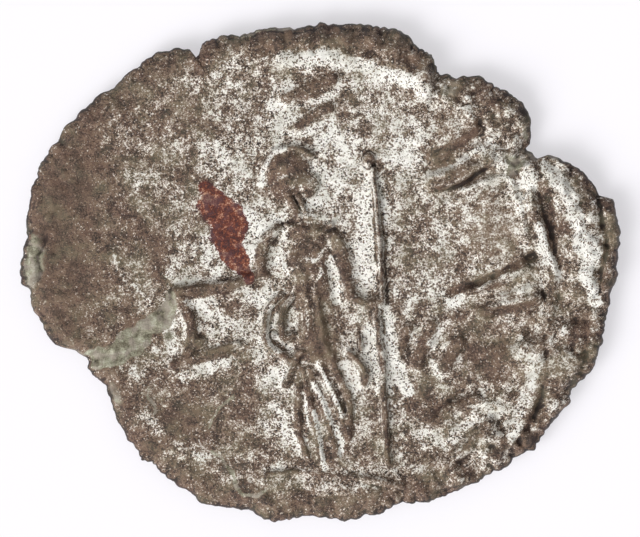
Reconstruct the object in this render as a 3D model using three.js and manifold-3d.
// A worn antoninianus: a base silver coin of the later third century on a ragged oval flan.
// It lies with its obverse down. The reverse bears a draped figure with a long sceptre.
// Millimetres, +Z up, +X to the right of the upright reverse, +Y to its top.
// The origin is under the middle of the flan, on the plane that the coin lies on.

import * as THREE from "three";
import { mergeVertices } from "three/addons/utils/BufferGeometryUtils.js";
import Module from "manifold-3d";

// Driving dimensions of the flan
const FLAN_LENGTH = 22.0;
const FLAN_WIDTH = 18.35;
const THICKNESS = 1.5;
const REVERSE_RELIEF = 0.3;
const OBVERSE_RELIEF = 0.3;
const EDGE_ROUNDING = 0.16;
const CRACK_DEPTH = 0.2;

// Driving dimensions of the relief: width across each kind of stroke, and its rise above the field
const SCEPTRE = { width: 0.24, rise: 0.27 };
const LIMB = { width: 0.5, rise: 0.25 };
const BODY = { width: 1.3, rise: 0.22, swell: [1.3, 1.15, 0.85, 1.05] };
const SKIRT = { width: 2.0, rise: 0.13, swell: [0.8, 0.95, 1.1, 0.9] };
const MANTLE = { width: 0.34, rise: 0.24 };
const FOLD = { width: 0.24, rise: 0.25 };
const BRANCH = { width: 0.42, rise: 0.19 };
const GROUND_LINE = { width: 0.2, rise: 0.13 };
const INSCRIPTION = { width: 0.42, rise: 0.17 };
const BORDER = { width: 0.4, rise: 0.17 };
const CRACK = { width: 0.5, rise: -CRACK_DEPTH };
const OBVERSE_BORDER = { width: 0.42, rise: OBVERSE_RELIEF };
const OBVERSE_INSCRIPTION = { width: 0.3, rise: 0.16 };
const HAIR = { width: 0.32, rise: OBVERSE_RELIEF };
const BUST_RISE = 0.2;
const BUST_EDGE = 0.14;

// Levels of the two fields
const REVERSE_FIELD = THICKNESS - REVERSE_RELIEF;
const OBVERSE_FIELD = OBVERSE_RELIEF;
const ROOT_DEPTH = 0.12;

// Places on a face are thousandths of the flan's length (u) and width (v) from its middle.
function place([u, v]) {
  return new THREE.Vector3((u / 1000) * FLAN_LENGTH, (v / 1000) * FLAN_WIDTH, 0);
}

const wasm = await Module();
wasm.setup();

function solidOf(geometry) {
  geometry.deleteAttribute("normal");
  geometry.deleteAttribute("uv");
  const merged = mergeVertices(geometry, 1e-5);
  return new wasm.Manifold(
    new wasm.Mesh({
      numProp: 3,
      vertProperties: merged.attributes.position.array,
      triVerts: new Uint32Array(merged.index.array),
    }),
  );
}

// A closed skin over rings of equally many points, each ring turning left as seen from the next.
function loft(rings) {
  const count = rings[0].length;
  const positions = rings.flat();
  const index = [];
  for (let r = 0; r + 1 < rings.length; r++) {
    for (let i = 0; i < count; i++) {
      const a = r * count + i;
      const b = r * count + ((i + 1) % count);
      index.push(a, b, b + count, a, b + count, a + count);
    }
  }
  const middle = (ring) =>
    ring.reduce((sum, p) => sum.add(p), new THREE.Vector3()).divideScalar(count);
  const last = (rings.length - 1) * count;
  positions.push(middle(rings[0]), middle(rings[rings.length - 1]));
  for (let i = 0; i < count; i++) {
    const next = (i + 1) % count;
    index.push(positions.length - 2, next, i);
    index.push(positions.length - 1, last + i, last + next);
  }
  return new THREE.BufferGeometry().setFromPoints(positions).setIndex(index);
}

// The flan's outline, clockwise from the left, with the nick at the top, the torn shoulder at
// the upper right, the mouths of the two cracks and the step at the lower right.
const OUTLINE = [
  [-500, 4], [-490, 88], [-482, 169], [-457, 233], [-430, 283], [-397, 325], [-357, 363],
  [-312, 404], [-268, 438], [-219, 447],
  [-213, 440], [-208, 426], [-201, 450],
  [-186, 467], [-134, 476], [-77, 488], [-22, 493], [23, 500], [90, 493], [137, 478],
  [161, 456], [191, 432],
  [195, 414], [201, 399], [218, 397], [228, 386], [240, 394],
  [275, 389], [308, 364], [337, 340], [353, 296], [351, 256],
  [343, 248], [352, 239], [365, 225], [379, 233],
  [420, 218], [457, 181], [471, 154], [489, 145], [494, 116], [500, 90], [500, 26],
  [492, -30], [482, -86], [470, -147], [457, -199], [430, -227],
  [419, -239], [422, -260], [400, -284],
  [387, -305], [355, -355], [323, -374], [296, -402], [243, -431], [184, -460], [136, -461],
  [95, -486], [35, -498], [-27, -491], [-75, -500], [-119, -478], [-174, -472], [-219, -441],
  [-270, -396], [-323, -335], [-350, -260], [-357, -231], [-387, -195],
  [-388, -177], [-415, -154],
  [-444, -146], [-467, -104], [-486, -52], [-484, -33], [-495, -24],
];
const STEPS_PER_POINT = 2;

// The outline as points, anticlockwise, fitted to the flan's length and width.
function flanEdge() {
  const curve = new THREE.CatmullRomCurve3(OUTLINE.map(place), true, "centripetal");
  const points = curve.getPoints(OUTLINE.length * STEPS_PER_POINT).slice(1).reverse();
  const box = new THREE.Box3().setFromPoints(points);
  const size = box.getSize(new THREE.Vector3());
  const centre = box.getCenter(new THREE.Vector3());
  const fit = new THREE.Vector3(FLAN_LENGTH / size.x, FLAN_WIDTH / size.y, 1);
  return points.map((p) => p.clone().sub(centre).multiply(fit));
}
const EDGE = flanEdge();
const EDGE_ANGLE = EDGE.map((p) => Math.atan2(p.y, p.x));
const EDGE_RADIUS = EDGE.map((p) => p.length());

// Further in, the rings forget the nicks: each radius there is a mean over its neighbours.
const NICK_REACH = 5;
const CALM_RADIUS = EDGE_RADIUS.map((_, i) => {
  let sum = 0;
  for (let k = -NICK_REACH; k <= NICK_REACH; k++) {
    sum += EDGE_RADIUS[(i + k + EDGE.length) % EDGE.length];
  }
  return sum / (2 * NICK_REACH + 1);
});

// Height of the rim above the reverse field, every 30 degrees from +X through +Y.
const RIM_STATIONS = [0.12, 0.09, 0.15, 0.19, 0.11, 0.04, 0.06, 0.04, 0.05, 0.07, 0.1, 0.12];
function rimRise(angle) {
  const turn = (angle / (2 * Math.PI) + 1) * RIM_STATIONS.length;
  const from = Math.floor(turn);
  const along = THREE.MathUtils.smoothstep(turn - from, 0, 1);
  const at = (k) => RIM_STATIONS[k % RIM_STATIONS.length];
  return THREE.MathUtils.lerp(at(from), at(from + 1), along);
}

// Rise of the reverse face above its field at each share of the way from the middle to the edge.
const REVERSE_PROFILE = [
  { share: 0.0, rise: () => 0 },
  { share: 0.82, rise: () => 0 },
  { share: 0.89, rise: (angle) => rimRise(angle) },
  { share: 0.965, rise: (angle) => 0.85 * rimRise(angle) },
  { share: 1.0, rise: (angle) => 0.85 * rimRise(angle) - EDGE_ROUNDING },
];

function riseAt(point) {
  const angle = Math.atan2(point.y, point.x);
  const off = (i) => Math.abs(Math.atan2(Math.sin(EDGE_ANGLE[i] - angle), Math.cos(EDGE_ANGLE[i] - angle)));
  let nearest = 0;
  for (let i = 1; i < EDGE.length; i++) {
    if (off(i) < off(nearest)) nearest = i;
  }
  const share = Math.min(Math.hypot(point.x, point.y) / CALM_RADIUS[nearest], 0.999);
  const outer = REVERSE_PROFILE.findIndex((station) => station.share > share);
  const [a, b] = [REVERSE_PROFILE[outer - 1], REVERSE_PROFILE[outer]];
  const along = (share - a.share) / (b.share - a.share);
  return THREE.MathUtils.lerp(a.rise(angle), b.rise(angle), along);
}

// One ring of the flan at a share of the radius, with its height given for each direction.
function flanRing(share, height) {
  const calm = 1 - THREE.MathUtils.smoothstep(share, 0.8, 0.98);
  return EDGE.map((p, i) => {
    const radius = THREE.MathUtils.lerp(EDGE_RADIUS[i], CALM_RADIUS[i], calm) * share;
    const angle = EDGE_ANGLE[i];
    return new THREE.Vector3(radius * Math.cos(angle), radius * Math.sin(angle), height(angle));
  });
}

// The blank: obverse field and rim, the rounded edge, then the reverse rim and its field.
function flan() {
  const obverse = [
    [0.82, OBVERSE_FIELD],
    [0.95, 0.5 * OBVERSE_FIELD],
    [1.0, 0.5 * OBVERSE_FIELD + EDGE_ROUNDING],
  ].map(([share, z]) => flanRing(share, () => z));
  const reverse = REVERSE_PROFILE.slice(1)
    .reverse()
    .map(({ share, rise }) => flanRing(share, (angle) => REVERSE_FIELD + rise(angle)));
  return loft([...obverse, ...reverse]);
}

// A rounded ridge along a path on a face, fading at both ends. A negative rise cuts a groove.
// Its section is a row of places across it, in shares of the width and of the rise, between two
// roots sunk in the metal. A swell widens or narrows it at even places along the path.
const ROUND_SECTION = [[-0.34, 0.7], [0, 1], [0.34, 0.7]];
const FLAT_SECTION = [[-0.3, 1], [0.3, 1]];
const ROOT_SPREAD = 0.56;
const END_WIDTH = 0.55;
const END_RISE = 0.45;
const STEP_LENGTH = 0.8;

function swellAt(swell, t) {
  const along = t * (swell.length - 1);
  const from = Math.min(Math.floor(along), swell.length - 2);
  return THREE.MathUtils.lerp(swell[from], swell[from + 1], along - from);
}

function ridge(path, { width, rise, swell = [1, 1] }, ground = riseAt, section = ROUND_SECTION) {
  const curve = new THREE.CatmullRomCurve3(path.map(place), false, "centripetal");
  const steps = Math.max(3, Math.round(curve.getLength() / STEP_LENGTH));
  const root = -Math.sign(rise) * ROOT_DEPTH;
  const rings = [];
  for (let k = 0; k <= steps; k++) {
    const t = k / steps;
    const centre = curve.getPointAt(t);
    const side = curve.getTangentAt(t).cross(new THREE.Vector3(0, 0, 1));
    const atEnd = k === 0 || k === steps;
    const broad = width * swellAt(swell, t) * (atEnd ? END_WIDTH : 1);
    const tall = rise * (atEnd ? END_RISE : 1);
    const level = ground(centre);
    const outer = [[-ROOT_SPREAD, root], ...section.map(([x, up]) => [x, up * tall]), [ROOT_SPREAD, root]].map(
      ([across, up]) => centre.clone().addScaledVector(side, across * broad).setZ(level + up),
    );
    rings.push(rise > 0 ? outer : outer.reverse());
  }
  return loft(rings);
}

// A low dome: the upper half of an ellipsoid, turned about +Z by an angle in degrees.
function dome(at, [length, width], rise, turn = 0, ground = riseAt) {
  const centre = place(at);
  return new THREE.SphereGeometry(1, 12, 6)
    .rotateX(Math.PI / 2)
    .scale(length / 2, width / 2, rise)
    .rotateZ(THREE.MathUtils.degToRad(turn))
    .translate(centre.x, centre.y, ground(centre));
}

// Reverse: the standing figure, in draped dress, looking to the left
function figure() {
  return [
    dome([-52, 194], [1.7, 2.1], REVERSE_RELIEF, 12),
    dome([-19, 163], [0.8, 0.95], 0.22),
    ridge([[-88, 222], [-68, 247], [-38, 250], [-16, 226]], { width: 0.32, rise: 0.24 }),
    ridge([[-46, 160], [-32, 92]], { width: 0.66, rise: 0.19 }),
    ridge([[-70, 88], [-34, 97], [14, 86]], { width: 0.34, rise: 0.24 }),
    ridge([[-30, 96], [-26, 20], [-17, -60], [-12, -150]], BODY),
    dome([-47, 36], [0.72, 0.72], 0.29),
    dome([-7, 42], [0.72, 0.72], 0.29),
    dome([-10, -112], [1.6, 1.9], 0.25, -10),
    ridge([[-14, -110], [-12, -207], [8, -290], [12, -390]], SKIRT),
  ];
}

function arms() {
  return [
    ridge([[-72, 78], [-92, 46], [-101, 4]], LIMB),
    ridge([[-97, 4], [-134, -22], [-189, -32], [-240, -38]], { ...LIMB, width: 0.42 }),
    ridge([[20, 76], [44, 30], [51, -34]], LIMB),
    ridge([[50, -30], [70, -58], [96, -66]], { ...LIMB, width: 0.36 }),
    dome([94, -62], [0.75, 0.42], 0.28, 30),
  ];
}

// Folds of the skirt fan out between two points at the hip and two at the hem.
const FOLD_COUNT = 5;
function folds() {
  const [hipLeft, hipRight] = [[-46, -200], [4, -158]];
  const [hemLeft, hemRight] = [[-22, -380], [54, -345]];
  const bulge = 14;
  const between = (a, b, t) => [0, 1].map((k) => THREE.MathUtils.lerp(a[k], b[k], t));
  return Array.from({ length: FOLD_COUNT }, (_, i) => {
    const t = i / (FOLD_COUNT - 1);
    const hip = between(hipLeft, hipRight, t);
    const hem = between(hemLeft, hemRight, t);
    const [u, v] = between(hip, hem, 0.55);
    return ridge([hip, [u + bulge * (t - 0.35), v], hem], FOLD);
  });
}

function mantle() {
  return [
    ridge([[-64, -52], [-87, -86], [-94, -118], [-82, -153], [-55, -175], [-24, -158]], MANTLE),
    ridge([[-47, -58], [-62, -92], [-60, -124], [-34, -136]], FOLD),
    ridge([[-62, -190], [-34, -190], [0, -161], [28, -122]], FOLD),
    ridge([[49, -163], [67, -173], [75, -203], [70, -228]], { width: 0.28, rise: 0.2 }),
    dome([-22, -388], [0.85, 0.4], 0.2),
    dome([32, -386], [0.85, 0.4], 0.2),
  ];
}

function attributes() {
  return [
    dome([82, 227], [0.42, 0.5], 0.28),
    ridge([[84, 218], [90, 104], [97, -56], [102, -147], [106, -257], [112, -380]], SCEPTRE),
    ridge([[-224, -46], [-214, -86], [-223, -134]], BRANCH),
    ridge([[-250, -171], [-193, -168], [-132, -142]], { ...BRANCH, width: 0.34 }),
    ridge([[-90, -406], [-34, -402], [50, -411], [136, -430]], GROUND_LINE),
  ];
}

// Reverse: strokes that form no letters, in the places of the lettering
function inscription() {
  const block = { ...INSCRIPTION, width: 0.6 };
  const bar = { ...INSCRIPTION, width: 0.36 };
  const strokes = [
    [[[-50, 402], [-42, 350]], block],
    [[[10, 404], [14, 350]], block],
    [[[-22, 334], [-14, 296]], bar],
    [[[193, 225], [221, 251], [262, 284]], bar],
    [[[203, 171], [240, 193], [289, 226]], bar],
    [[[250, -37], [293, -18], [342, 13]], INSCRIPTION],
    [[[274, -80], [318, -72], [365, -54]], INSCRIPTION],
    [[[188, -100], [174, -147], [160, -192]], bar],
    [[[142, -114], [133, -157], [137, -195]], bar],
    [[[197, -156], [227, -186]], bar],
    [[[200, -287], [229, -261], [262, -270]], bar],
    [[[273, -294], [270, -333], [244, -364]], bar],
    [[[106, 60], [130, 92]], bar],
    [[[114, 46], [119, -38]], { ...INSCRIPTION, width: 0.22 }],
    [[[99, 114], [125, 134]], { ...INSCRIPTION, width: 0.22 }],
  ];
  const pellet = dome([217, -338], [0.36, 0.36], 0.16);
  return [...strokes.map(([path, form]) => ridge(path, form, riseAt, FLAT_SECTION)), pellet];
}

// Reverse: what the die left of its border, and lumps in the spread metal outside it
function border() {
  return [
    ridge([[352, 155], [370, 88], [385, 14], [387, -66], [379, -147]], BORDER),
    ridge([[379, -147], [362, -231], [333, -297], [293, -365]], { ...BORDER, width: 0.55 }),
    ridge([[-206, 440], [-126, 458], [-34, 470], [50, 470], [126, 454]], { width: 0.5, rise: 0.06 }),
    dome([408, -170], [1.4, 2.4], 0.1, -14),
    dome([285, 335], [2.6, 1.7], 0.1, -32),
  ];
}

// Cracks in from the edge: the broad channel at the lower left and three fine ones
function cracks() {
  return [
    ridge([[-425, -192], [-338, -159], [-291, -122], [-268, -86], [-244, -50]], CRACK),
    ridge([[-400, -186], [-330, -158]], { width: 0.85, rise: -CRACK_DEPTH }),
    ridge([[372, 258], [318, 223], [285, 205], [248, 181], [209, 149]], { width: 0.3, rise: -CRACK_DEPTH }),
    ridge([[206, 420], [198, 365], [188, 329]], { width: 0.26, rise: -0.6 * CRACK_DEPTH }),
    ridge([[-380, -252], [-328, -227]], { width: 0.34, rise: -0.6 * CRACK_DEPTH }),
  ];
}

// Obverse: a bust to the right with a radiate crown, drawn as seen from that side.
// The whole bust is built on a face that looks up, and turned over at the end.
const flat = () => 0;

function bustOutline() {
  const at = (u, v) => [(u / 1000) * FLAN_LENGTH, (v / 1000) * FLAN_LENGTH];
  return new THREE.Shape()
    .moveTo(...at(-60, -40))
    .quadraticCurveTo(...at(-75, -110), ...at(-165, -160))
    .quadraticCurveTo(...at(-200, -220), ...at(-150, -262))
    .quadraticCurveTo(...at(-20, -315), ...at(105, -262))
    .quadraticCurveTo(...at(128, -215), ...at(85, -165))
    .quadraticCurveTo(...at(40, -125), ...at(48, -72))
    .quadraticCurveTo(...at(88, -72), ...at(100, -44))
    .lineTo(...at(97, -20))
    .lineTo(...at(106, -7))
    .lineTo(...at(102, 4))
    .lineTo(...at(109, 16))
    .lineTo(...at(106, 30))
    .quadraticCurveTo(...at(132, 34), ...at(128, 48))
    .lineTo(...at(107, 92))
    .quadraticCurveTo(...at(116, 130), ...at(92, 168))
    .quadraticCurveTo(...at(20, 235), ...at(-70, 195))
    .quadraticCurveTo(...at(-140, 140), ...at(-118, 50))
    .quadraticCurveTo(...at(-100, -10), ...at(-60, -40));
}

// A place on the obverse, given in thousandths of the flan's length both ways.
function facePlace(u, v) {
  return [u, (v * FLAN_LENGTH) / FLAN_WIDTH];
}

const RAY_COUNT = 5;
const RAY_LENGTH = 62;
function crown() {
  const band = [[96, 172], [40, 150], [-20, 132], [-80, 108], [-122, 78]].map(([u, v]) => facePlace(u, v));
  const rays = Array.from({ length: RAY_COUNT }, (_, i) => {
    const angle = THREE.MathUtils.degToRad(62 + 26 * i);
    const ray = (radius) => facePlace(-12 + radius * Math.cos(angle), 80 + radius * Math.sin(angle));
    return ridge([ray(95), ray(120 + RAY_LENGTH)], { width: 0.5, rise: 0.24 }, flat, FLAT_SECTION);
  });
  return [ridge(band, { width: 0.34, rise: OBVERSE_RELIEF }, flat, FLAT_SECTION), ...rays];
}

function hair() {
  const rows = 4;
  return Array.from({ length: rows }, (_, i) => {
    const drop = 34 * i;
    const lock = [[-30 - 6 * i, 100 - drop], [-66, 74 - drop], [-104 + 6 * i, 58 - drop]];
    return ridge(lock.map(([u, v]) => facePlace(u, v)), HAIR, flat);
  });
}

// The drapery's folds run round from the shoulder to the breast.
const DRAPE_COUNT = 4;
function drapery() {
  return Array.from({ length: DRAPE_COUNT }, (_, i) => {
    const out = 52 * i;
    const fold = [[-128 + out, -176 - 4 * i], [-104 + out, -226], [-62 + out, -262]];
    return ridge(fold.map(([u, v]) => facePlace(u, v)), { width: 0.4, rise: 0.29 }, flat);
  });
}

// The hair is the highest point of the bust, and is worn down to a flat.
const WORN_CROWN = [-50, 112];
function face() {
  return [
    dome(facePlace(62, 20), [1.5, 1.9], 0.26, 10, flat),
    dome(facePlace(74, 78), [0.62, 0.34], 0.28, -6, flat),
    ridge([facePlace(52, 106), facePlace(80, 112), facePlace(104, 100)], { width: 0.22, rise: 0.28 }, flat),
    dome(facePlace(4, 46), [0.5, 0.85], 0.29, 10, flat),
    dome(facePlace(...WORN_CROWN), [3.6, 3.0], 1.3 * OBVERSE_RELIEF, 20, flat),
    dome(facePlace(-8, -92), [1.5, 1.9], 0.26, 0, flat),
  ];
}

function bust() {
  const silhouette = new THREE.ExtrudeGeometry(bustOutline(), {
    depth: BUST_RISE - BUST_EDGE + ROOT_DEPTH,
    curveSegments: 3,
    bevelThickness: BUST_EDGE,
    bevelSize: BUST_EDGE,
    bevelSegments: 2,
  }).translate(0, 0, -ROOT_DEPTH);
  return [silhouette, ...face(), ...hair(), ...crown(), ...drapery()];
}

// Obverse: three stretches of the border and a ring of short bars that form no letters
const OBVERSE_BORDER_RADIUS = 8.0;
const OBVERSE_INSCRIPTION_RADIUS = 6.7;
function obverseRing() {
  const onCircle = (radius, degrees) => {
    const angle = THREE.MathUtils.degToRad(degrees);
    return [(1000 * radius * Math.cos(angle)) / FLAN_LENGTH, (1000 * radius * Math.sin(angle)) / FLAN_WIDTH];
  };
  const arcs = [[20, 80], [135, 200], [265, 330]].map(([from, to]) => {
    const path = [0, 0.25, 0.5, 0.75, 1].map((t) =>
      onCircle(OBVERSE_BORDER_RADIUS, THREE.MathUtils.lerp(from, to, t)),
    );
    return ridge(path, OBVERSE_BORDER, flat, FLAT_SECTION);
  });
  const bars = [];
  for (let degrees = -45; degrees <= 225; degrees += 15) {
    if (Math.abs(degrees - 90) < 40) continue;
    const path = [-0.42, 0.42].map((off) => onCircle(OBVERSE_INSCRIPTION_RADIUS + off, degrees + 4 * off));
    bars.push(ridge(path, OBVERSE_INSCRIPTION, flat, FLAT_SECTION));
  }
  return [...arcs, ...bars];
}

// The struck coin: blank and relief joined, cracks cut, and both faces worn down to the thickness
function coin() {
  const join = (parts) => parts.map(solidOf).reduce((sum, part) => sum.add(part));
  const reverse = [figure(), arms(), folds(), mantle(), attributes(), inscription(), border()]
    .flat()
    .map((geometry) => geometry.translate(0, 0, REVERSE_FIELD));
  const obverse = [bust(), obverseRing()]
    .flat()
    .map((geometry) => geometry.rotateY(Math.PI).translate(0, 0, OBVERSE_FIELD));
  const cuts = cracks().map((geometry) => geometry.translate(0, 0, REVERSE_FIELD));
  const wear = new THREE.BoxGeometry(2 * FLAN_LENGTH, 2 * FLAN_LENGTH, THICKNESS).translate(0, 0, THICKNESS / 2);
  return join([flan(), ...reverse, ...obverse]).subtract(join(cuts)).intersect(solidOf(wear));
}

function meshOf(solid, name, material) {
  const { vertProperties, triVerts } = solid.getMesh();
  const geometry = new THREE.BufferGeometry()
    .setAttribute("position", new THREE.BufferAttribute(vertProperties, 3))
    .setIndex(new THREE.BufferAttribute(triVerts, 1));
  geometry.computeVertexNormals();
  const mesh = new THREE.Mesh(geometry, material);
  mesh.name = name;
  return mesh;
}

const billon = new THREE.MeshStandardMaterial({ color: 0x7d7266, roughness: 0.6, metalness: 0.7 });

const antoninianus = new THREE.Group();
antoninianus.add(meshOf(coin(), "coin", billon));

export default antoninianus;
